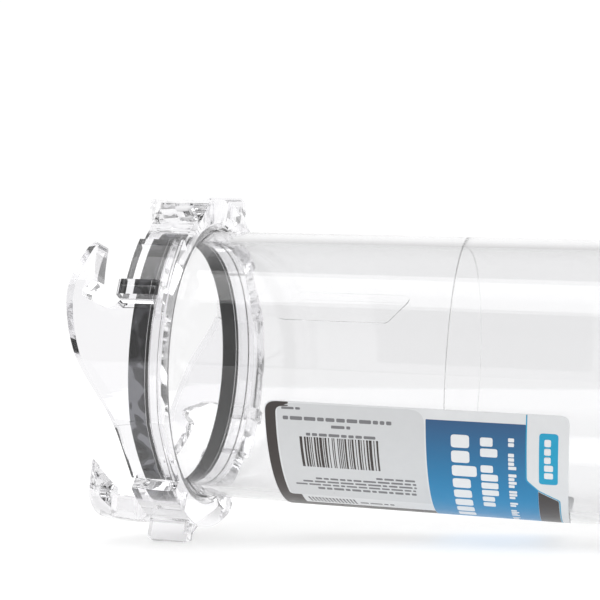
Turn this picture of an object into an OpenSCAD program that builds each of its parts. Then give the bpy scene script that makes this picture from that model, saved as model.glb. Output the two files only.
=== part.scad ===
// Straight bayonet extender for a caravan waste line: a clear tube with a swivelling
// hook collar and seal at one end and a four-lug ring at the other.
// The tube axis lies along X. The origin is on that axis at the bonded seam between the
// two tube halves, +X points to the lug end and +Z is up. Ring angles are counted about
// X from the front (-Y, 0 degrees) through the top (+Z, 90 degrees).

/* [Tube] */
// Outer diameter of the tube
tube_od = 83.5; // [80:0.5:88]
// Wall thickness of the tube
tube_wall = 3; // [2.4:0.1:3.4]
// Length of the tube half on the collar side, from the seam to its flange face
collar_half_length = 84.8; // [80:0.2:110]
// Length of the tube half on the lug side, from the seam to its sealing face
lug_half_length = 69.7; // [60:0.1:110]
// Axial length of the lap where the two halves are bonded
lap_length = 4; // [2:0.5:8]
// Diameter of the flange that the collar turns on
flange_od = 88.9; // [88.7:0.1:89.1]
// Thickness of that flange
flange_thickness = 3.8; // [3:0.1:4.2]

/* [Collar] */
// Diameter of the collar's front bore
collar_bore = 89.6; // [89.5:0.1:90]
// Outer diameter of the ring and the hooks
hook_od = 103.2; // [101:0.2:106]
// Distance across two opposite flats of the ring
across_flats = 95; // [93:0.2:98]
// Axial width of the ring
ring_width = 13.7; // [12:0.1:15]
// Distance from the ring's front edge to the tube flange's front face
flange_depth = 6.8; // [6:0.1:7.2]
// Diameter of the hole in the back lip, which the tube passes through
lip_bore = 84.8; // [84.6:0.1:86]
// Reach of the hooks in front of the ring
hook_reach = 17.3; // [17.2:0.1:20]
// Width of the slot under the nose of each hook's finger
slot_width = 9.8; // [9.4:0.1:10.2]
// Reach of the tabs from the axis
tab_reach = 58.3; // [56:0.1:62]
// Thickness of each tab
tab_thickness = 4.5; // [3.5:0.1:6]
// Turn of the whole collar on the tube
collar_turn = 0; // [0:1:360]

/* [Seal] */
// Thickness of the seal
seal_thickness = 5; // [4:0.1:5.2]
// Outer diameter of the seal
seal_od = 88.8; // [88:0.1:89]
// Inner diameter of the seal
seal_id = 78.6; // [78:0.1:80]

/* [Lug end] */
// Diameter of the sealing ring at the lug end
lug_ring_od = 88; // [87:0.1:88.6]
// Axial width of that ring
lug_ring_width = 13.6; // [13.4:0.1:16]
// Reach of each lug from the axis
lug_reach = 50.3; // [48:0.1:51]
// Axial thickness of each lug
lug_thickness = 6.6; // [5:0.1:6.8]
// Distance from the lug's front face to the sealing face
lug_setback = 6; // [5.6:0.1:6.2]
// Width of each lug around the ring
lug_width = 14; // [10:0.5:14.5]

/* [Label] */
// Length of the label along the tube
label_length = 84.6; // [60:0.1:86]
// Distance from the seam to the label's right end
label_right = 33.8; // [20:0.1:34]
// Ring angle of the label's upper edge, below the front
label_top = -13.3; // [-20:0.1:-5]
// Height of the label around the tube
label_height = 73; // [40:1:90]
// Thickness of the label
label_thickness = 0.2; // [0.1:0.05:0.3]

/* [Hidden] */
$fn = 96;

hook_count = 4;
hook_pitch = 360 / hook_count;
lug_count = 4;
lug_pitch = 360 / lug_count;
tube_r = tube_od / 2;
bore_r = tube_r - tube_wall;
flange_r = flange_od / 2;
lap_r = bore_r + tube_wall / 2;
bond_gap = 0.05;
spigot_gap = 0.2;
edge = 0.6;
fillet = 0.4;
sink = 1.5;
past = 2;

// Stations along X
flange_face_x = -collar_half_length;
flange_back_x = flange_face_x + flange_thickness;
ring_front_x = flange_face_x - flange_depth;
ring_back_x = ring_front_x + ring_width;
collar_play = 0.3;
lip_x = flange_back_x + collar_play;
seal_front_x = flange_face_x - seal_thickness;
sealing_face_x = lug_half_length;
lug_ring_x = sealing_face_x - lug_ring_width;
lug_x = sealing_face_x - lug_setback - lug_thickness;

// Collar radii, and the angles of one hook measured from its own middle line
collar_bore_r = collar_bore / 2;
lip_bore_r = lip_bore / 2;
lip_bevel_depth = 1.3;
lip_bevel_rise = 3.2;
hook_r = hook_od / 2;
hook_middle = 7;
arc_end = 43;
slot_start = 19;
root_reach = 1.2;
gap_start = 47.5;
gap_end = 56;
flat_r = across_flats / 2;
flat_middle = -43;
flat_start = arc_end - hook_pitch;
flat_end = -18.5;
tab_angle = 20.3;
tab_corner = 1.6;
tab_inset = 0.5;
cut_floor_r = 28;
cut_side = 34;

// A ring profile, drawn as (radius, x), turned all the way round the tube axis
module turned() rotate([0, 90, 0]) rotate_extrude() children();

// The same profile turned from one ring angle to another
module turned_arc(from, to)
    rotate([0, 90, 0]) rotate([0, 0, -90 - to]) rotate_extrude(angle = to - from) children();

// Local X stays along the tube, local Y points to greater ring angles and local Z outward
module at_angle(a) rotate([90 - a, 0, 0]) children();

module rod(r, from_x, to_x) translate([from_x, 0, 0]) rotate([0, 90, 0]) cylinder(r = r, h = to_x - from_x);

// Points of an arc about a centre, in the plane of an outline
function arc_points(cx, cy, r, from, to, steps = 6) =
    [for (i = [0:steps]) let (a = from + (to - from) * i / steps) [cx + r * cos(a), cy + r * sin(a)]];

// A rectangle with rounded far corners, from (0, 0) to (length, height)
function tab_outline(length, height, r) = concat(
    [[0, 0], [length, 0]],
    arc_points(length - r, height - r, r, 0, 90),
    arc_points(r, height - r, r, 90, 180)
);

// ---- the two tube halves ----

// Collar side: flange in front, recess for the other half's spigot at the seam
module flanged_tube() color([0.86, 0.87, 0.89, 0.55]) turned() polygon([
    [bore_r, flange_face_x],
    [flange_r - edge, flange_face_x],
    [flange_r, flange_face_x + edge],
    [flange_r, flange_back_x - edge / 2],
    [flange_r - edge / 2, flange_back_x],
    [tube_r + fillet, flange_back_x],
    [tube_r, flange_back_x + fillet],
    [tube_r, 0],
    [lap_r, 0],
    [lap_r, -lap_length],
    [bore_r, -lap_length],
]);

// One bayonet lug: a block on the sealing ring with a lead-in on each side
module lug() {
    lead = 1.6;
    half = lug_width / 2;
    inner = lug_ring_od / 2 - sink;
    translate([lug_x, 0, 0]) intersection() {
        rod(lug_reach, 0, lug_thickness);
        translate([0, 0, inner]) linear_extrude(height = lug_reach - inner + past) polygon([
            [0, -half],
            [0, half],
            [lug_thickness - lead, half],
            [lug_thickness, half - lead],
            [lug_thickness, -half + lead],
            [lug_thickness - lead, -half],
        ]);
    }
}

// Buttress behind a lug, down to the tube
module lug_buttress() {
    depth = 7;
    width = 3;
    overlap = 0.5;
    top = lug_reach - 1.2;
    translate([lug_x, width / 2, 0]) rotate([90, 0, 0]) linear_extrude(height = width) polygon([
        [-depth, tube_r - sink],
        [overlap, tube_r - sink],
        [overlap, top],
        [0, top],
        [-depth, tube_r + edge],
    ]);
}

// Lug side: spigot at the seam, sealing ring and four lugs at the far end
module lug_tube() color([0.86, 0.87, 0.89, 0.55]) {
    lug_ring_r = lug_ring_od / 2;
    shoulder = 2;
    cut_r = bore_r - 1;
    difference() {
        union() {
            turned() polygon([
                [cut_r, -lap_length + spigot_gap],
                [lap_r - bond_gap, -lap_length + spigot_gap],
                [lap_r - bond_gap, 0],
                [tube_r, 0],
                [tube_r, lug_ring_x - shoulder],
                [lug_ring_r, lug_ring_x],
                [lug_ring_r, sealing_face_x - edge],
                [lug_ring_r - edge, sealing_face_x],
                [cut_r, sealing_face_x],
            ]);
            for (i = [0:lug_count - 1]) at_angle((i + 0.5) * lug_pitch) {
                lug();
                lug_buttress();
            }
        }
        rod(bore_r, -lap_length - past, sealing_face_x + past);
    }
}

// ---- the seal ----

// Flat ring seal with its corners eased
module seal() color([0.07, 0.07, 0.075]) {
    outer_r = seal_od / 2;
    inner_r = seal_id / 2;
    ease = 0.5;
    turned() polygon([
        [inner_r, flange_face_x],
        [outer_r, flange_face_x],
        [outer_r, seal_front_x + ease],
        [outer_r - ease, seal_front_x],
        [inner_r + ease, seal_front_x],
        [inner_r, seal_front_x + ease],
    ]);
}

// ---- the collar ----

// Sideways place of a ring angle on a hook's outline, seen square to the hook's middle line
function side(a) = hook_r * sin(a - hook_middle);

// Point at a ring angle and a radius, for outlines seen along the tube
function ring_point(a, r) = [r * sin(a), r * cos(a)];

// Outline of one hook as (reach in front of the ring, ring angle from the hook's own line):
// a long ramp up to the nose, the pointed tip of the finger, then the slot underneath it,
// which opens into a rounded throat at the finger's neck
hook_edge = [
    [root_reach, -24], [1.7, -20], [3, -16.5], [6.2, -10.6], [9.4, -5.3], [12.5, 0.6], [14.5, 6.7], [16.1, 13.3],
    [17, 18], [hook_reach, 21], [hook_reach, 24], [16.6, 29], [15.9, 33.5], [15, 38], [14.2, 40.5], [13.4, 41.6],
    [12.6, 40.6], [11.6, 35.6], [10.4, 29], [slot_width, 25.8], [10.2, 24.8], [11.3, 23.5], [12.5, 22.4],
    [12.8, 21.4], [12.5, 20.3], [11.3, 19.2], [7.7, 17.5], [6, 16.4], [4, 16], [2.4, 16.6], [root_reach, 18],
];

// Ring with a front wall as deep as the hooks, from which the hooks are cut
module collar_blank() {
    front = ring_front_x - hook_reach - 1;
    turned() polygon([
        [lip_bore_r, lip_x],
        [lip_bore_r, ring_back_x - lip_bevel_depth],
        [lip_bore_r + lip_bevel_rise, ring_back_x],
        [hook_r, ring_back_x],
        [hook_r, front],
        [collar_bore_r, front],
        [collar_bore_r, lip_x],
    ]);
}

// What surrounds one hook in front of the ring, down to a low root between the hooks
module hook_surround() {
    front = ring_front_x - hook_reach - past - 1;
    floor_x = ring_front_x - root_reach;
    at_angle(hook_middle) translate([0, 0, cut_floor_r]) linear_extrude(height = hook_r - cut_floor_r + past)
        polygon(concat(
            [
                for (p = hook_edge) [ring_front_x - p[0], side(p[1])]
            ],
            [[floor_x, cut_side], [front, cut_side], [front, -cut_side], [floor_x, -cut_side]]
        ));
    turned_arc(gap_start, gap_end) translate([collar_bore_r - past, front])
        square([hook_r - collar_bore_r + 2 * past, floor_x - front]);
}

// Floor of the slot, down to the front of the ring
module slot_floor() turned_arc(slot_start, arc_end) translate([collar_bore_r - past, ring_front_x - 2 * root_reach])
    square([hook_r - collar_bore_r + 2 * past, 2 * root_reach]);

// Flat on the outside of the ring, from the previous hook's arc to this hook's ramp
module ring_flat() translate([ring_front_x - hook_reach - past, 0, 0]) rotate([90, 0, 90])
    linear_extrude(height = ring_width + hook_reach + 2 * past) polygon([
        ring_point(flat_start, flat_r / cos(flat_start - flat_middle)),
        ring_point(flat_start, hook_r + past),
        ring_point(flat_end, hook_r + past),
        ring_point(flat_end, flat_r / cos(flat_end - flat_middle)),
    ]);

// Grip tab standing on the ring, with a small gusset against it
module tab() at_angle(tab_angle) {
    foot = hook_r - past;
    face = tab_thickness / 2;
    gusset_width = 2.2;
    gusset_setback = 3;
    gusset_reach = 4.5;
    gusset_low = 1.4;
    gusset_high = 5.5;
    translate([ring_front_x + tab_inset, face, foot]) rotate([90, 0, 0]) linear_extrude(height = tab_thickness)
        polygon(tab_outline(ring_width - 2 * tab_inset, tab_reach - foot, tab_corner));
    translate([ring_back_x - gusset_setback, 0, foot]) rotate([90, 0, 90]) linear_extrude(height = gusset_width)
        polygon([[0, 0], [-face - gusset_reach, 0], [-face - gusset_reach, gusset_low], [0, gusset_high]]);
}

module bayonet_collar() color([0.84, 0.85, 0.88, 0.6]) rotate([collar_turn, 0, 0]) {
    difference() {
        collar_blank();
        for (i = [0:hook_count - 1]) rotate([i * hook_pitch, 0, 0]) {
            hook_surround();
            slot_floor();
            at_angle(0) ring_flat();
        }
    }
    for (i = [0:hook_count - 1]) rotate([i * hook_pitch, 0, 0]) tab();
}

// ---- the label ----

module label() color([0.2, 0.55, 0.75])
    turned_arc(label_top - label_height / tube_r * 180 / PI, label_top)
        translate([tube_r, label_right - label_length]) square([label_thickness, label_length]);

flanged_tube();
lug_tube();
seal();
bayonet_collar();
label();
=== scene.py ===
"""Looks of the clear bayonet extender: clear moulded tube and collar, rubber seal and printed label.

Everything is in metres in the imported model's frame: +X runs along the tube axis from the hook
collar to the lug ring, +Z is up, and ring angles are counted about X from the front (-Y, 0 degrees)
through the top (+Z, 90 degrees). Mouldings are drawn flat, with X along the tube, Y round the ring
and Z as the radius, get their rounded edges there, and are then wrapped round the tube axis.
"""

import math
import random

import bmesh
import bpy
from mathutils import Matrix, Vector


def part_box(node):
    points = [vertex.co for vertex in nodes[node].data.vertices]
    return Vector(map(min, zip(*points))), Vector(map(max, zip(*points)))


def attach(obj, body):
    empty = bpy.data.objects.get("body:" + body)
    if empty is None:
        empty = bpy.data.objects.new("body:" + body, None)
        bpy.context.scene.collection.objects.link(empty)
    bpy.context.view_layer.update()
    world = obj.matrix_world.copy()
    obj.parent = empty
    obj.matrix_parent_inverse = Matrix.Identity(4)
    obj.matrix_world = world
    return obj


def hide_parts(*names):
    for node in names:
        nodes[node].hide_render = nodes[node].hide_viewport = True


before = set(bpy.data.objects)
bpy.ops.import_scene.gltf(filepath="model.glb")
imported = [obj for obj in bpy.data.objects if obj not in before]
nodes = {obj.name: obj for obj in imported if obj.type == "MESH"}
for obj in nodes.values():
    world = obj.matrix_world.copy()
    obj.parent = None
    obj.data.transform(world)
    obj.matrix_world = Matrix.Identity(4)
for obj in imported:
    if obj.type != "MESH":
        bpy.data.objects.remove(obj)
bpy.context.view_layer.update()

MM = 0.001
scene = bpy.context.scene


# ---------------------------------------------------------------- places read from the frame
def radii(node, from_x=-math.inf, to_x=math.inf):
    """Smallest and largest radius about the tube axis of a CAD node, between two places along it."""
    found = [
        math.hypot(v.co.y, v.co.z)
        for v in nodes[node].data.vertices
        if from_x - 1e-6 <= v.co.x <= to_x + 1e-6
    ]
    return min(found), max(found)


TUBE_LOW, TUBE_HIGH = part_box("flanged_tube")
LUG_LOW, LUG_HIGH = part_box("lug_tube")
COLLAR_LOW, COLLAR_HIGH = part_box("bayonet_collar")
SEAL_LOW, SEAL_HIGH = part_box("seal")
LABEL_LOW, LABEL_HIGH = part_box("label")
SEAM_X = TUBE_HIGH.x
FLANGE_X = TUBE_LOW.x
SEALING_X = LUG_HIGH.x
BORE_R, FLANGE_R = radii("flanged_tube")
TUBE_R = radii("label")[0]
LABEL_OUT_R = radii("label")[1]
LABEL_HEIGHT = 73 * MM
SEAL_IN_R, SEAL_OUT_R = radii("seal")
LIP_R, TAB_R = radii("bayonet_collar")
HOOK_R = radii("bayonet_collar", COLLAR_LOW.x, COLLAR_LOW.x + 3 * MM)[1]
COLLAR_BORE_R = radii("bayonet_collar", COLLAR_LOW.x, COLLAR_LOW.x + 3 * MM)[0]
LUG_RING_R = radii("lug_tube", SEALING_X - 2 * MM, SEALING_X - 0.2 * MM)[1]
LUG_R = radii("lug_tube")[1]

# Sizes that the frame doesn't give directly
FLANGE_THICK = 3.8 * MM
RING_WIDTH = 13.7 * MM
FLAT_R = 47.5 * MM
LIP_THICK = 2.8 * MM
LIP_BEVEL_DEPTH = 1.3 * MM
LIP_BEVEL_RISE = 3.2 * MM
SEAM_OVERLAP = 0.005 * MM
SEAM_GROOVE = 0.05 * MM
BACK_X = COLLAR_HIGH.x
RING_X = BACK_X - RING_WIDTH
LIP_X = BACK_X - LIP_THICK

HOOK_MIDDLE = 7
ARC_END = 43
FLAT_START, FLAT_MIDDLE, FLAT_END = -47, -43, -18.5
PITCH = 90
COLLAR_CUT = -39
LUG_ANGLE = 45
TAB_ANGLE = 20.3
TAB_THICK = 4.5 * MM
TAB_INSET = 0.5 * MM


def on_ring(x, angle, radius):
    """The point at a place along the tube, a ring angle in degrees and a radius."""
    a = math.radians(angle)
    return Vector((x, -radius * math.cos(a), radius * math.sin(a)))


# ---------------------------------------------------------------- camera
def make_camera():
    data = bpy.data.cameras.new("camera")
    data.sensor_width = 36
    data.lens = 76.7
    data.shift_x = -0.0240
    data.shift_y = 0.1500
    data.clip_start = 0.01
    camera = bpy.data.objects.new("camera", data)
    right = Vector((0.9687, 0.2435, 0.0487)).normalized()
    back = Vector((0.2432, -0.9699, 0.0122)).normalized()
    up = back.cross(right).normalized()
    turn = Matrix((right, up, back)).transposed().to_4x4()
    camera.matrix_world = Matrix.Translation(Vector((0.05024, -0.38616, -0.00175))) @ turn
    scene.collection.objects.link(camera)
    scene.camera = camera


# ---------------------------------------------------------------- mesh helpers
def make_object(name, builder):
    """An object from a bmesh, smooth shaded."""
    mesh = bpy.data.meshes.new(name)
    bmesh.ops.recalc_face_normals(builder, faces=builder.faces)
    for face in builder.faces:
        face.smooth = True
    builder.to_mesh(mesh)
    builder.free()
    obj = bpy.data.objects.new(name, mesh)
    scene.collection.objects.link(obj)
    return obj


def rounded(points, radius, steps=4):
    """An outline with rounded corners. points holds (a, b) or (a, b, radius of that corner)."""
    out = []
    count = len(points)
    for i, point in enumerate(points):
        here = Vector(point[:2])
        before = Vector(points[i - 1][:2]) - here
        after = Vector(points[(i + 1) % count][:2]) - here
        r = point[2] if len(point) > 2 else radius
        turn = before.angle(after)
        if r <= 0 or turn > math.radians(179):
            out.append(here)
            continue
        cut = min(r / math.tan(turn / 2), before.length * 0.49, after.length * 0.49)
        start = here + before.normalized() * cut
        end = here + after.normalized() * cut
        for k in range(steps + 1):
            t = k / steps
            out.append(start * (1 - t) ** 2 + here * 2 * t * (1 - t) + end * t**2)
    return out


def prism(outline, axis, low, high):
    """A closed prism along axis, from low to high. The outline is in the other two axes, in X, Y, Z
    order."""
    others = [a for a in range(3) if a != axis]
    builder = bmesh.new()

    def corner(point, level):
        place = [0.0, 0.0, 0.0]
        place[others[0]], place[others[1]] = point[0], point[1]
        place[axis] = level
        return builder.verts.new(place)

    bottom = [corner(p, low) for p in outline]
    top = [corner(p, high) for p in outline]
    builder.faces.new(bottom)
    builder.faces.new(list(reversed(top)))
    for i in range(len(outline)):
        j = (i + 1) % len(outline)
        builder.faces.new((bottom[j], bottom[i], top[i], top[j]))
    return make_object("block", builder)


def mesh_with_modifiers(obj):
    """The object's mesh as its modifiers leave it."""
    depsgraph = bpy.context.evaluated_depsgraph_get()
    depsgraph.update()
    return bpy.data.meshes.new_from_object(obj.evaluated_get(depsgraph))


def drop(*objects):
    for obj in objects:
        bpy.data.objects.remove(obj, do_unlink=True)


def union(first, others, edge_radius, sharper_than=50, cutters=()):
    """Joins blocks into one solid, takes the cutters off it and rounds its sharp edges."""
    steps = [("UNION", o) for o in others] + [("DIFFERENCE", c) for c in cutters]
    for operation, other in steps:
        join = first.modifiers.new("join", "BOOLEAN")
        join.operation = operation
        join.solver = "EXACT"
        join.object = other
    mesh = mesh_with_modifiers(first)
    drop(first, *others, *cutters)
    builder = bmesh.new()
    builder.from_mesh(mesh)
    bmesh.ops.remove_doubles(builder, verts=builder.verts, dist=1e-6)
    bmesh.ops.dissolve_limit(
        builder, angle_limit=math.radians(0.5), verts=builder.verts, edges=builder.edges
    )
    joined = make_object("joined", builder)
    if edge_radius > 0:
        bevel = joined.modifiers.new("edges", "BEVEL")
        bevel.width = edge_radius
        bevel.segments = 3
        bevel.limit_method = "ANGLE"
        bevel.angle_limit = math.radians(sharper_than)
        bevel.miter_outer = "MITER_ARC"
        bevel.use_clamp_overlap = True
    mesh = mesh_with_modifiers(joined)
    drop(joined)
    builder = bmesh.new()
    builder.from_mesh(mesh)
    return builder


def close_seams(builder):
    """Joins loose edges where one side of a seam has a point that the other side lacks."""
    for _ in range(4):
        loose = [e for e in builder.edges if len(e.link_faces) == 1]
        ends = list(dict.fromkeys(v for e in loose for v in e.verts))
        for edge in loose:
            first, last = edge.verts
            along = last.co - first.co
            for vert in ends:
                share = (vert.co - first.co).dot(along) / along.length_squared
                off = (first.co + along * share - vert.co).length
                if 0.0005 < share < 0.9995 and off < 0.02 * MM:
                    bmesh.utils.edge_split(edge, first, share)[1].co = vert.co
                    break
        ends = dict.fromkeys(v for e in builder.edges if len(e.link_faces) == 1 for v in e.verts)
        bmesh.ops.remove_doubles(builder, verts=list(ends), dist=5e-6)


def wrap_round(builder, flat_r, start, end, copies, step=1.25, bend=None):
    """Wraps a flat moulding round the tube axis. Y is flat_r times the ring angle. It is cut off at the
    ring angles start and end, sliced every step degrees, and repeated until the ring closes."""
    to_y = math.radians(1) * flat_r
    slices = round((end - start) / step)
    for i in range(slices + 1):
        angle = start + (end - start) * i / slices
        bmesh.ops.bisect_plane(
            builder,
            geom=builder.verts[:] + builder.edges[:] + builder.faces[:],
            dist=1e-8,
            plane_co=(0, angle * to_y, 0),
            plane_no=(0, 1, 0),
            clear_inner=i == 0,
            clear_outer=i == slices,
        )
    for vert in builder.verts:
        x, y, r = vert.co
        angle = y / to_y
        if bend:
            angle = bend(x, angle, r)
        vert.co = on_ring(x, angle, r)
    one = builder.verts[:] + builder.edges[:] + builder.faces[:]
    for i in range(1, copies):
        made = bmesh.ops.duplicate(builder, geom=one)["geom"]
        verts = [g for g in made if isinstance(g, bmesh.types.BMVert)]
        turn = Matrix.Rotation(-math.radians(i * (end - start)), 3, "X")
        bmesh.ops.rotate(builder, verts=verts, cent=(0, 0, 0), matrix=turn)
    bmesh.ops.remove_doubles(builder, verts=builder.verts, dist=2e-6)
    close_seams(builder)
    return builder


def finish_shape(obj):
    """Keeps broad faces flat and lets the rounded edges carry the shading."""
    weights = obj.modifiers.new("weights", "WEIGHTED_NORMAL")
    weights.mode = "FACE_AREA"
    weights.keep_sharp = True


# ---------------------------------------------------------------- the tube
def make_front_tube():
    """Collar side of the tube: flange in front, and a plain raised pad on the wall."""
    section = rounded(
        [
            (FLANGE_X, BORE_R, 0.5 * MM),
            (FLANGE_X, FLANGE_R, 0.5 * MM),
            (FLANGE_X + FLANGE_THICK, FLANGE_R, 0.4 * MM),
            (FLANGE_X + FLANGE_THICK, TUBE_R, 0.5 * MM),
            (SEAM_X - SEAM_GROOVE, TUBE_R, 0),
            (SEAM_X + SEAM_OVERLAP, TUBE_R - SEAM_GROOVE, 0),
            (SEAM_X + SEAM_OVERLAP, BORE_R, 0),
        ],
        0,
    )
    to_y = math.radians(1) * TUBE_R
    wall = prism(section, 1, -181 * to_y, 181 * to_y)
    pad_low, pad_high = 18.5 * to_y, 30.5 * to_y
    pad_height = 0.35 * MM
    pad_outline = rounded(
        [
            (SEAM_X - 50 * MM, pad_low),
            (SEAM_X - 17 * MM, pad_low),
            (SEAM_X - 10 * MM, pad_high),
            (SEAM_X - 43 * MM, pad_high),
        ],
        2 * MM,
        6,
    )
    pad = prism(pad_outline, 2, TUBE_R - 0.5 * MM, TUBE_R + pad_height)
    builder = union(wall, [pad], 0.25 * MM, 60)
    wrap_round(builder, TUBE_R, -180, 180, 1)
    obj = make_object("clear_tube_front", builder)
    finish_shape(obj)
    return obj


def make_back_tube():
    """Lug side of the tube: sealing ring with four bayonet lugs and their buttresses."""
    ring_width = 13.6 * MM
    lug_thick = 6.6 * MM
    lug_setback = 6 * MM
    lug_lead = 1.6 * MM
    lug_half = 7 * MM
    buttress_depth = 7 * MM
    buttress_half = 1.5 * MM
    buttress_drop = 1.2 * MM
    shoulder = 2 * MM
    section = rounded(
        [
            (SEAM_X - SEAM_OVERLAP, BORE_R, 0),
            (SEAM_X - SEAM_OVERLAP, TUBE_R - SEAM_GROOVE, 0),
            (SEAM_X + SEAM_GROOVE, TUBE_R, 0),
            (SEALING_X - ring_width - shoulder, TUBE_R, 2 * MM),
            (SEALING_X - ring_width, LUG_RING_R, 1.5 * MM),
            (SEALING_X, LUG_RING_R, 0.6 * MM),
            (SEALING_X, BORE_R, 0.6 * MM),
        ],
        0,
    )
    flat_r = LUG_RING_R
    to_y = math.radians(1) * flat_r
    wall = prism(section, 1, -2 * to_y, (PITCH + 2) * to_y)
    middle = LUG_ANGLE * to_y
    lug_x = SEALING_X - lug_setback - lug_thick
    front = lug_x + lug_thick
    lug_outline = [
        (lug_x, middle - lug_half),
        (lug_x, middle + lug_half),
        (front - lug_lead, middle + lug_half),
        (front, middle + lug_half - lug_lead),
        (front, middle - lug_half + lug_lead),
        (front - lug_lead, middle - lug_half),
    ]
    lug = prism(lug_outline, 2, LUG_RING_R - 1 * MM, LUG_R)
    buttress_outline = [
        (lug_x - buttress_depth, TUBE_R - 1 * MM),
        (lug_x + 0.5 * MM, TUBE_R - 1 * MM),
        (lug_x + 0.5 * MM, LUG_R - buttress_drop),
        (lug_x, LUG_R - buttress_drop),
        (lug_x - buttress_depth, TUBE_R + 0.6 * MM),
    ]
    buttress = prism(buttress_outline, 1, middle - buttress_half, middle + buttress_half)
    builder = union(wall, [lug, buttress], 0.45 * MM)
    wrap_round(builder, flat_r, 0, PITCH, 4)
    obj = make_object("clear_tube_back", builder)
    finish_shape(obj)
    return obj


# ---------------------------------------------------------------- the collar
# One hook as (reach in front of the ring in millimetres, ring angle from the hook's own line)
ROOT_REACH = 1.2
HOOK_EDGE = [
    (-2, -46), (ROOT_REACH, -46), (ROOT_REACH, -24), (1.7, -20), (3, -16.5), (6.2, -10.6),
    (9.4, -5.3), (12.5, 0.6), (14.5, 6.7), (16.1, 13.3), (17, 18), (17.3, 21), (17.3, 24),
    (16.6, 29), (15.9, 33.5), (15, 38), (14.2, 40.5), (13.4, 41.6), (12.6, 40.6), (11.6, 35.6),
    (10.4, 29), (9.8, 25.8), (10.2, 24.8), (11.3, 23.5), (12.5, 22.4), (12.8, 21.4), (12.5, 20.3),
    (11.3, 19.2), (7.7, 17.5), (6, 16.4), (4, 16), (2.4, 16.6), (0.6, 18.6), (-2, 21),
]  # fmt: skip


def softened(points, passes=2):
    """Cuts the corners of a closed outline, which rounds it a little more on each pass."""
    for _ in range(passes):
        cut = []
        for i, here in enumerate(points):
            there = points[(i + 1) % len(points)]
            cut.append(here * 0.8 + there * 0.2)
            cut.append(here * 0.2 + there * 0.8)
        points = cut
    return points


def bend_hooks(x, angle, radius):
    """The sides of a hook stand parallel to its middle line, as they leave the mould."""
    if radius > HOOK_R:
        return TAB_ANGLE + (angle - TAB_ANGLE) * HOOK_R / radius
    share = min(max((RING_X - ROOT_REACH * MM - x) / (1 * MM), 0), 1)
    if share == 0:
        return angle
    sideways = HOOK_R * math.sin(math.radians(angle - HOOK_MIDDLE))
    parallel = HOOK_MIDDLE + math.degrees(math.asin(max(-1, min(1, sideways / radius))))
    return angle + (parallel - angle) * share


def flat_cutter(turn, to_y):
    """What a flat takes off the outside of the ring, turn degrees on from its place beside a hook."""
    steps = 19
    angles = [FLAT_START + (FLAT_END - FLAT_START) * i / steps for i in range(steps + 1)]
    outline = [((a + turn) * to_y, FLAT_R / math.cos(math.radians(a - FLAT_MIDDLE))) for a in angles]
    outside = HOOK_R + 4 * MM
    outline += [((FLAT_END + turn) * to_y, outside), ((FLAT_START + turn) * to_y, outside)]
    return prism(outline, 0, RING_X - 25 * MM, BACK_X + 2 * MM)


def make_collar():
    flat_r = HOOK_R
    to_y = math.radians(1) * flat_r
    ring_outline = [
        (RING_X, COLLAR_BORE_R),
        (LIP_X, COLLAR_BORE_R),
        (LIP_X, LIP_R),
        (BACK_X - LIP_BEVEL_DEPTH, LIP_R),
        (BACK_X, LIP_R + LIP_BEVEL_RISE),
        (BACK_X, HOOK_R),
        (RING_X, HOOK_R),
    ]
    ring = prism(ring_outline, 1, -44 * to_y, 58 * to_y)
    outline = softened([Vector((RING_X - reach * MM, a * to_y)) for reach, a in HOOK_EDGE])
    plate = prism(outline, 2, COLLAR_BORE_R, HOOK_R)
    root_x = RING_X - ROOT_REACH * MM
    root_outline = [
        (root_x, ARC_END * to_y),
        (root_x, 60 * to_y),
        (RING_X + 2 * MM, 60 * to_y),
        (RING_X + 2 * MM, ARC_END * to_y),
    ]
    root = prism(root_outline, 2, COLLAR_BORE_R, HOOK_R)
    half = TAB_THICK / 2
    foot_r = HOOK_R - 1 * MM
    tip_r = TAB_R - 0.06 * MM
    tab_outline = rounded(
        [
            (RING_X + TAB_INSET, foot_r, 0),
            (RING_X + TAB_INSET, tip_r, 1.6 * MM),
            (BACK_X - TAB_INSET, tip_r, 1.6 * MM),
            (BACK_X - TAB_INSET, foot_r, 0),
        ],
        0,
        5,
    )
    middle = TAB_ANGLE * to_y
    tab = prism(tab_outline, 1, middle - half, middle + half)
    foot = middle - half
    gusset_reach = 4.5 * MM
    gusset_top = HOOK_R + 3.4 * MM
    gusset_outline = [
        (foot + 1 * MM, foot_r),
        (foot - gusset_reach, foot_r),
        (foot - gusset_reach, HOOK_R + 0.1 * MM),
        (foot, gusset_top),
        (foot + 1 * MM, gusset_top),
    ]
    gusset = prism(gusset_outline, 0, BACK_X - 3 * MM, BACK_X - 0.8 * MM)
    cutters = [flat_cutter(0, to_y), flat_cutter(PITCH, to_y)]
    builder = union(ring, [plate, root, tab, gusset], 0.4 * MM, 50, cutters)
    wrap_round(builder, flat_r, COLLAR_CUT, COLLAR_CUT + PITCH, 4, bend=bend_hooks)
    obj = make_object("clear_collar", builder)
    finish_shape(obj)
    return obj


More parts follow.
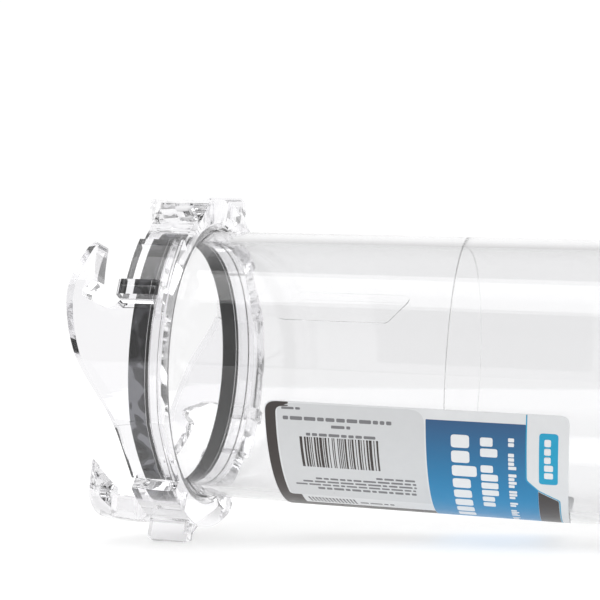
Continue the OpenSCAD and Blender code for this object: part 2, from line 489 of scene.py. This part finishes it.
# ---------------------------------------------------------------- seal
def make_seal():
    """Ring seal with two beads on its working face."""
    bead_top, bead_foot = 1.4 * MM, 1.8 * MM
    groove_x = SEAL_LOW.x + 0.5 * MM
    outline = rounded(
        [
            (SEAL_HIGH.x, SEAL_IN_R, 0.4 * MM),
            (SEAL_LOW.x, SEAL_IN_R, 0.5 * MM),
            (SEAL_LOW.x, SEAL_IN_R + bead_top, 0.4 * MM),
            (groove_x, SEAL_IN_R + bead_foot, 0.3 * MM),
            (groove_x, SEAL_OUT_R - bead_foot, 0.3 * MM),
            (SEAL_LOW.x, SEAL_OUT_R - bead_top, 0.4 * MM),
            (SEAL_LOW.x, SEAL_OUT_R, 0.5 * MM),
            (SEAL_HIGH.x, SEAL_OUT_R, 0.4 * MM),
        ],
        0,
        4,
    )
    to_y = math.radians(1) * SEAL_OUT_R
    block = prism(outline, 1, -181 * to_y, 181 * to_y)
    builder = bmesh.new()
    builder.from_mesh(block.data)
    drop(block)
    wrap_round(builder, SEAL_OUT_R, -180, 180, 1)
    obj = make_object("rubber_seal", builder)
    finish_shape(obj)
    return obj


# ---------------------------------------------------------------- label
# The label's layout is in millimetres: x along the tube from the seam, d down from its upper edge.
LABEL_TOP_ANGLE = math.degrees(math.atan2(LABEL_HIGH.z, -LABEL_LOW.y))
PANEL_LEFT, PANEL_RIGHT, PANEL_FOOT = -47.6, -5.3, 37
BLUE_LEFT, BLUE_RIGHT, BLUE_TOP = -4.9, 22.3, 3.0
STEP_RIGHT, STEP_TOP = 25.6, 21.2
PRINT_FOOT = 66.0


def box_outline(x0, d0, x1, d1, radius=0.0):
    corners = [(x0, d0, radius), (x1, d0, radius), (x1, d1, radius), (x0, d1, radius)]
    return rounded(corners, 0, 3) if radius else [Vector(c[:2]) for c in corners]


def words(start, end, seed, gap=0.5, shortest=1.2, longest=4.0):
    """Splits a line into word-like stretches, the same ones each time."""
    draw = random.Random(seed)
    pieces = []
    while start < end:
        length = min(draw.uniform(shortest, longest), end - start)
        if length > shortest / 2:
            pieces.append((start, start + length))
        start += length + gap
    return pieces


def text_line(x0, x1, d, height, seed):
    """A line of small print, as plain bars."""
    return [box_outline(a, d, b, d + height, height * 0.3) for a, b in words(x0, x1, seed)]


def upright_word(x_foot, x_head, d0, d1, pitch, seed):
    """A large word that reads down the label, as rounded blocks of two heights."""
    share_low, drop_low = 0.6, 0.27
    draw = random.Random(seed)
    blocks = []
    d = d0
    while d + pitch <= d1 + 0.01:
        low = draw.random() < share_low
        head = x_head - (x_head - x_foot) * (drop_low if low else 0)
        blocks.append(box_outline(x_foot, d, head, d + pitch * 0.8, pitch * 0.18))
        d += pitch
    return blocks


def bar_code(x0, x1, d0, d1, seed):
    """Upright bars of mixed widths that encode nothing."""
    thin, middle, thick = 0.26, 0.52, 0.78
    draw = random.Random(seed)
    bars = []
    x = x0
    while x < x1 - 0.9:
        width = draw.choice((thin, thin, middle, middle, thick))
        bars.append(box_outline(x, d0, x + width, d1))
        x += width + draw.choice((thin, thin, middle, thick))
    return bars


def label_shapes():
    """Everything on the label as (layer, material name, outline)."""
    left, right = LABEL_LOW.x / MM, LABEL_HIGH.x / MM
    height = LABEL_HEIGHT / MM
    shapes = [(0, "film", box_outline(left, 0, right, height, 2.5))]
    border = rounded(
        [
            (-43.9, 0.15, 0.2), (left + 0.15, 0.15, 3.2), (left + 0.15, PRINT_FOOT, 3),
            (-5, PRINT_FOOT, 0.5), (-5, 44, 0.5), (-44.1, 44, 0.4), (-44.1, PANEL_FOOT - 0.4, 0.4),
            (PANEL_LEFT, PANEL_FOOT - 0.4, 1.5), (PANEL_LEFT, 1.6, 2), (-43.9, 1.4, 0.2),
        ],
        0,
        5,
    )  # fmt: skip
    shapes.append((1, "dark", border))
    panel = rounded(
        [
            (PANEL_LEFT + 0.5, 1.9, 1.6), (-43.5, 0.5, 0.3), (PANEL_RIGHT, 0.5, 4.2),
            (PANEL_RIGHT, PANEL_FOOT, 0.6), (PANEL_LEFT + 0.5, PANEL_FOOT - 0.8, 1.2),
        ],
        0,
        5,
    )  # fmt: skip
    shapes.append((1, "panel", panel))
    # Small print as (start, end, place down the label, height)
    lines = [
        (-45.8, -40.4, 1.6, 0.7), (-45.5, -14.4, 4.3, 1.1), (-31.6, -26.1, 6.5, 0.9),
        (-20, -8.8, 24.3, 0.8), (-38, -8.6, 25.9, 0.8), (-42, -8.6, 27.5, 0.8),
        (-44.4, -9, 29.1, 0.8), (-38.1, -9, 30.8, 1.2),
    ]  # fmt: skip
    for seed, (x0, x1, d, size) in enumerate(lines):
        shapes += [(2, "grey_ink", o) for o in text_line(x0, x1, d, size, seed)]
    shapes += [(2, "dark", o) for o in bar_code(-41, -17, 10.5, 21.2, 5)]
    shapes += [(2, "grey_ink", o) for o in text_line(-39, -19, 9.2, 0.9, 31)]
    slant_top, slant_foot, slant_pitch = 38.2, 42.4, 1.05
    for k in range(14):
        x = -42.6 + k * slant_pitch
        slant = [(x, slant_top), (x + 0.55, slant_top), (x + 1.0, slant_foot), (x + 0.45, slant_foot)]
        shapes.append((1, "grey_ink", [Vector(p) for p in slant]))
    shapes += [(1, "grey_ink", o) for o in text_line(-27, -16.8, 40.2, 1.1, 40)]
    blue = rounded(
        [
            (BLUE_LEFT, BLUE_TOP, 0.2), (BLUE_RIGHT, BLUE_TOP, 0.2), (BLUE_RIGHT, STEP_TOP, 2.5),
            (STEP_RIGHT, 25.2, 0.3), (STEP_RIGHT, PRINT_FOOT, 0.4), (BLUE_LEFT, PRINT_FOOT, 0.4),
        ],
        0,
        5,
    )  # fmt: skip
    shapes.append((1, "blue", blue))
    foot_left = STEP_RIGHT + 0.05
    foot = rounded(
        [
            (foot_left, 25.6, 0.1), (31.2, 29.7, 1.6), (31.6, PRINT_FOOT, 0.5),
            (foot_left, PRINT_FOOT, 0.1),
        ],
        0,
        5,
    )  # fmt: skip
    shapes.append((1, "dark", foot))
    trim_in = [
        (BLUE_RIGHT, 0.3, 0), (BLUE_RIGHT, STEP_TOP, 2.5), (STEP_RIGHT, 25.3, 0.3),
        (31.3, 29.5, 1.8), (31.7, PRINT_FOOT, 0),
    ]  # fmt: skip
    trim_out = [(x + 0.32, d - 0.22, r) for x, d, r in reversed(trim_in)]
    shapes.append((2, "cyan", rounded(trim_in + trim_out, 0, 5)))
    shapes.append((1, "cyan", box_outline(25.9, 5.2, 31.0, 22.2, 1.0)))
    # Large words as (foot, head, start, end, pitch, seed)
    large = [
        (27.3, 29.7, 7.0, 20.6, 2.7, 3), (2.0, 8.9, 7.0, 47.5, 5.0, 11),
        (10.0, 14.7, 7.4, 14.2, 3.4, 12), (10.0, 14.7, 16.4, 36.2, 3.3, 14),
    ]  # fmt: skip
    for word in large:
        shapes += [(2, "white_ink", o) for o in upright_word(*word)]
    for seed, (a, b) in enumerate(words(7.2, 56, 21, 1.0, 3.0, 7.5)):
        shapes += [(2, "white_ink", o) for o in upright_word(17.6, 19.8, a, b, 1.45, 50 + seed)]
    return shapes


def make_label():
    """The printed film: a white sheet with each colour of ink as a thin layer of its own."""
    layers = (
        (TUBE_R + 0.03 * MM, LABEL_OUT_R - 0.04 * MM),
        (LABEL_OUT_R - 0.05 * MM, LABEL_OUT_R - 0.02 * MM),
        (LABEL_OUT_R - 0.03 * MM, LABEL_OUT_R - 0.002 * MM),
    )
    builder = bmesh.new()
    to_y = math.radians(1) * LABEL_OUT_R
    top = LABEL_TOP_ANGLE * to_y
    names = list(LABEL_INKS)
    for layer, ink, outline in label_shapes():
        low, high = layers[layer]
        places = [(p.x * MM, top - p.y * MM) for p in outline]
        bottom = [builder.verts.new((x, y, low)) for x, y in places]
        upper = [builder.verts.new((x, y, high)) for x, y in places]
        faces = [builder.faces.new(bottom), builder.faces.new(list(reversed(upper)))]
        for i in range(len(places)):
            j = (i + 1) % len(places)
            faces.append(builder.faces.new((bottom[j], bottom[i], upper[i], upper[j])))
        for face in faces:
            face.material_index = names.index(ink)
    start = LABEL_TOP_ANGLE - LABEL_HEIGHT / to_y
    wrap_round(builder, LABEL_OUT_R, start - 0.5, LABEL_TOP_ANGLE + 0.5, 1, 2.0)
    obj = make_object("printed_label", builder)
    for ink in names:
        obj.data.materials.append(LABEL_INKS[ink])
    finish_shape(obj)
    return obj


# ---------------------------------------------------------------- materials
def new_material(name):
    material = bpy.data.materials.new(name)
    material.use_nodes = True
    tree = material.node_tree
    shader = tree.nodes["Principled BSDF"]
    return material, tree, shader


def add_node(tree, kind, **inputs):
    node = tree.nodes.new(kind)
    for key, value in inputs.items():
        node.inputs[key.replace("_", " ")].default_value = value
    return node


def finish_with(obj, material):
    obj.data.materials.clear()
    obj.data.materials.append(material)


def clear_plastic(name, tint, roughness, ripple):
    """Clear moulded plastic: refracting, with faint flow ripples and fine handling marks."""
    material, tree, shader = new_material(name)
    shader.inputs["Base Color"].default_value = (*tint, 1)
    shader.inputs["IOR"].default_value = 1.5
    shader.inputs["Transmission Weight"].default_value = 1.0
    links = tree.links
    place = tree.nodes.new("ShaderNodeTexCoord")
    stretch = add_node(tree, "ShaderNodeMapping", Scale=(0.4, 1, 1))
    flow = add_node(tree, "ShaderNodeTexNoise", Scale=38, Detail=2, Roughness=0.4)
    scuffs = add_node(tree, "ShaderNodeTexNoise", Scale=900, Detail=3, Roughness=0.6)
    rough = add_node(tree, "ShaderNodeMapRange", To_Min=roughness * 0.5, To_Max=roughness * 1.6)
    bump = add_node(tree, "ShaderNodeBump", Strength=ripple, Distance=0.0006)
    links.new(place.outputs["Object"], stretch.inputs["Vector"])
    links.new(stretch.outputs["Vector"], flow.inputs["Vector"])
    links.new(place.outputs["Object"], scuffs.inputs["Vector"])
    links.new(scuffs.outputs["Fac"], rough.inputs["Value"])
    links.new(rough.outputs["Result"], shader.inputs["Roughness"])
    links.new(flow.outputs["Fac"], bump.inputs["Height"])
    links.new(bump.outputs["Normal"], shader.inputs["Normal"])
    return material


def black_rubber():
    """Black rubber, with grey patches on its rim that are a painted reflection of the thin air gap
    between the rim and the clear collar.
    """
    material, tree, shader = new_material("seal_rubber")
    links = tree.links
    place = tree.nodes.new("ShaderNodeTexCoord")
    gap_reflection_patches = add_node(tree, "ShaderNodeTexNoise", Scale=95, Detail=2, Roughness=0.5, Distortion=0.8)
    ramp = tree.nodes.new("ShaderNodeValToRGB")
    # Black, two dull greys and a light blotch, as (position, shade): the greys and the blotch are
    # painted reflection
    rubber_and_painted_reflection_shades = ((0.47, 0.006), (0.50, 0.075), (0.56, 0.10), (0.585, 0.36))
    ramp.color_ramp.elements.new(0.5)
    ramp.color_ramp.elements.new(0.6)
    for element, (position, shade) in zip(ramp.color_ramp.elements, rubber_and_painted_reflection_shades):
        element.position = position
        element.color = (shade, shade * 1.02, shade * 1.1, 1)
    radial = tree.nodes.new("ShaderNodeVectorMath")
    radial.operation = "MULTIPLY"
    radial.inputs[1].default_value = (0, 1, 1)
    distance = tree.nodes.new("ShaderNodeVectorMath")
    distance.operation = "LENGTH"
    rim = add_node(tree, "ShaderNodeMapRange", To_Min=0.7)
    rim.inputs["From Min"].default_value = SEAL_OUT_R - 0.5 * MM
    rim.inputs["From Max"].default_value = SEAL_OUT_R - 0.2 * MM
    # Mask for the painted reflection: the patches, only near the seal's outer rim
    painted_reflection_on_rim = tree.nodes.new("ShaderNodeMath")
    painted_reflection_on_rim.operation = "MULTIPLY"
    links.new(place.outputs["Object"], radial.inputs[0])
    links.new(radial.outputs["Vector"], distance.inputs[0])
    links.new(distance.outputs["Value"], rim.inputs["Value"])
    links.new(gap_reflection_patches.outputs["Fac"], painted_reflection_on_rim.inputs[0])
    links.new(rim.outputs["Result"], painted_reflection_on_rim.inputs[1])
    grain = add_node(tree, "ShaderNodeTexNoise", Scale=1800, Detail=3, Roughness=0.6)
    rough = add_node(tree, "ShaderNodeMapRange", To_Min=0.32, To_Max=0.6)
    bump = add_node(tree, "ShaderNodeBump", Strength=0.25, Distance=0.0001)
    links.new(place.outputs["Object"], gap_reflection_patches.inputs["Vector"])
    links.new(place.outputs["Object"], grain.inputs["Vector"])
    links.new(painted_reflection_on_rim.outputs["Value"], ramp.inputs["Fac"])
    links.new(ramp.outputs["Color"], shader.inputs["Base Color"])
    links.new(gap_reflection_patches.outputs["Fac"], rough.inputs["Value"])
    links.new(rough.outputs["Result"], shader.inputs["Roughness"])
    links.new(grain.outputs["Fac"], bump.inputs["Height"])
    links.new(bump.outputs["Normal"], shader.inputs["Normal"])
    return material


def printed_film(name, colour, mottle=0.04, roughness=0.32, far_colour=None):
    """Glossy printed film: a little unevenness in the ink and a faint orange-peel surface."""
    material, tree, shader = new_material(name)
    links = tree.links
    place = tree.nodes.new("ShaderNodeTexCoord")
    cloud = add_node(tree, "ShaderNodeTexNoise", Scale=260, Detail=4, Roughness=0.6)
    mix = tree.nodes.new("ShaderNodeMix")
    mix.data_type = "RGBA"
    low = [c * (1 - mottle) for c in colour]
    high = [min(1, c * (1 + mottle)) for c in (far_colour or colour)]
    mix.inputs["A"].default_value = (*low, 1)
    mix.inputs["B"].default_value = (*high, 1)
    peel = add_node(tree, "ShaderNodeTexNoise", Scale=1100, Detail=2, Roughness=0.5)
    rough = add_node(tree, "ShaderNodeMapRange", To_Min=roughness * 0.7, To_Max=roughness * 1.3)
    bump = add_node(tree, "ShaderNodeBump", Strength=0.08, Distance=0.0001)
    links.new(place.outputs["Object"], cloud.inputs["Vector"])
    links.new(place.outputs["Object"], peel.inputs["Vector"])
    if far_colour:
        split = tree.nodes.new("ShaderNodeSeparateXYZ")
        fade = add_node(tree, "ShaderNodeMapRange", From_Min=-0.012, From_Max=-0.036)
        links.new(place.outputs["Object"], split.inputs["Vector"])
        links.new(split.outputs["Z"], fade.inputs["Value"])
        links.new(fade.outputs["Result"], mix.inputs["Factor"])
    else:
        links.new(cloud.outputs["Fac"], mix.inputs["Factor"])
    links.new(mix.outputs["Result"], shader.inputs["Base Color"])
    links.new(cloud.outputs["Fac"], rough.inputs["Value"])
    links.new(rough.outputs["Result"], shader.inputs["Roughness"])
    links.new(peel.outputs["Fac"], bump.inputs["Height"])
    links.new(bump.outputs["Normal"], shader.inputs["Normal"])
    return material


def plain_white(name, level):
    material, tree, shader = new_material(name)
    shader.inputs["Base Color"].default_value = (level, level, level, 1)
    shader.inputs["Roughness"].default_value = 0.6
    return material


# ---------------------------------------------------------------- stage and light
def make_floor():
    """The extender rests on a collar tab and its lug ring, so the floor slopes a little here."""
    low_tab_angle = -67.5
    gap = 0.3 * MM
    tab_foot = on_ring(BACK_X, low_tab_angle, TAB_R)
    lug_foot = Vector((SEALING_X, 0, -LUG_RING_R))
    slope = (lug_foot.z - tab_foot.z) / (lug_foot.x - tab_foot.x)
    mesh = bpy.data.meshes.new("floor")
    builder = bmesh.new()
    reach = 30.0
    corners = [
        builder.verts.new((x, y, tab_foot.z - gap + slope * (x - tab_foot.x)))
        for x, y in ((-reach, -reach), (reach, -reach), (reach, reach), (-reach, reach))
    ]
    builder.faces.new(corners)
    builder.to_mesh(mesh)
    builder.free()
    floor = bpy.data.objects.new("floor", mesh)
    scene.collection.objects.link(floor)
    white = plain_white("floor_white", 0.45)
    tree = white.node_tree
    shader = tree.nodes["Principled BSDF"]
    shader.inputs["Emission Color"].default_value = (1, 1, 1, 1)
    place = tree.nodes.new("ShaderNodeTexCoord")
    distance = tree.nodes.new("ShaderNodeVectorMath")
    distance.operation = "LENGTH"
    evening = add_node(
        tree, "ShaderNodeMapRange", From_Min=0.2, From_Max=1.6, To_Min=0.66, To_Max=0.8
    )
    tree.links.new(place.outputs["Object"], distance.inputs[0])
    tree.links.new(distance.outputs["Value"], evening.inputs["Value"])
    tree.links.new(evening.outputs["Result"], shader.inputs["Emission Strength"])
    finish_with(floor, white)


def add_area(name, place, target, size, power):
    data = bpy.data.lights.new(name, "AREA")
    data.energy = power
    data.shape = "RECTANGLE"
    data.size, data.size_y = size
    light = bpy.data.objects.new(name, data)
    light.location = place
    light.rotation_euler = (Vector(target) - Vector(place)).to_track_quat("-Z", "Y").to_euler()
    scene.collection.objects.link(light)


def make_light():
    """A white studio sweep behind the object that fades to grey towards the camera and overhead."""
    world = bpy.data.worlds.new("studio")
    scene.world = world
    world.use_nodes = True
    tree = world.node_tree
    background = tree.nodes["Background"]
    background.inputs["Color"].default_value = (1, 1, 1, 1)
    place = tree.nodes.new("ShaderNodeTexCoord")
    split = tree.nodes.new("ShaderNodeSeparateXYZ")
    behind = add_node(tree, "ShaderNodeMapRange", From_Min=-0.6, From_Max=0.3, To_Min=0.5, To_Max=1.04)
    behind.interpolation_type = "SMOOTHSTEP"
    above = add_node(tree, "ShaderNodeMapRange", From_Min=0.4, From_Max=0.85, To_Min=1.0, To_Max=0.55)
    above.interpolation_type = "SMOOTHSTEP"
    product = tree.nodes.new("ShaderNodeMath")
    product.operation = "MULTIPLY"
    links = tree.links
    links.new(place.outputs["Generated"], split.inputs["Vector"])
    links.new(split.outputs["Y"], behind.inputs["Value"])
    links.new(split.outputs["Z"], above.inputs["Value"])
    links.new(behind.outputs["Result"], product.inputs[0])
    links.new(above.outputs["Result"], product.inputs[1])
    links.new(product.outputs["Value"], background.inputs["Strength"])
    scene.view_settings.view_transform = "Standard"
    scene.cycles.max_bounces = 32
    scene.cycles.transmission_bounces = 32
    scene.cycles.glossy_bounces = 16
    add_area("overhead", (0.1, -0.42, 1.0), (0.1, -0.42, 0), (1.6, 0.62), 6.5)


make_camera()
make_floor()
make_light()
tube_plastic = clear_plastic("clear_tube", (0.925, 0.925, 0.930), 0.03, 0.06)
collar_plastic = clear_plastic("clear_collar", (0.925, 0.920, 0.935), 0.03, 0.05)
LABEL_INKS = {
    "film": printed_film("label_film", (0.80, 0.81, 0.82)),
    "panel": printed_film("panel_ink", (0.70, 0.71, 0.72)),
    "dark": printed_film("dark_ink", (0.045, 0.035, 0.032)),
    "grey_ink": printed_film("grey_ink", (0.20, 0.20, 0.21)),
    "blue": printed_film("blue_ink", (0.020, 0.095, 0.235), far_colour=(0.0, 0.24, 0.50)),
    "cyan": printed_film("cyan_ink", (0.0, 0.36, 0.60)),
    "white_ink": printed_film("white_ink", (0.86, 0.87, 0.88)),
}
PIECES = (
    (make_front_tube, "flanged_tube", "tube", "clear_tube", tube_plastic),
    (make_back_tube, "lug_tube", "tube", "clear_tube", tube_plastic),
    (make_collar, "bayonet_collar", "collar", "clear_collar", collar_plastic),
    (make_seal, "seal", "tube", "seal_rubber", black_rubber()),
    (make_label, "label", "tube", "label_film", None),
)
for make, node, body, slot, material in PIECES:
    piece = make()
    if material:
        finish_with(piece, material)
    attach(piece, body)
    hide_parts(node)
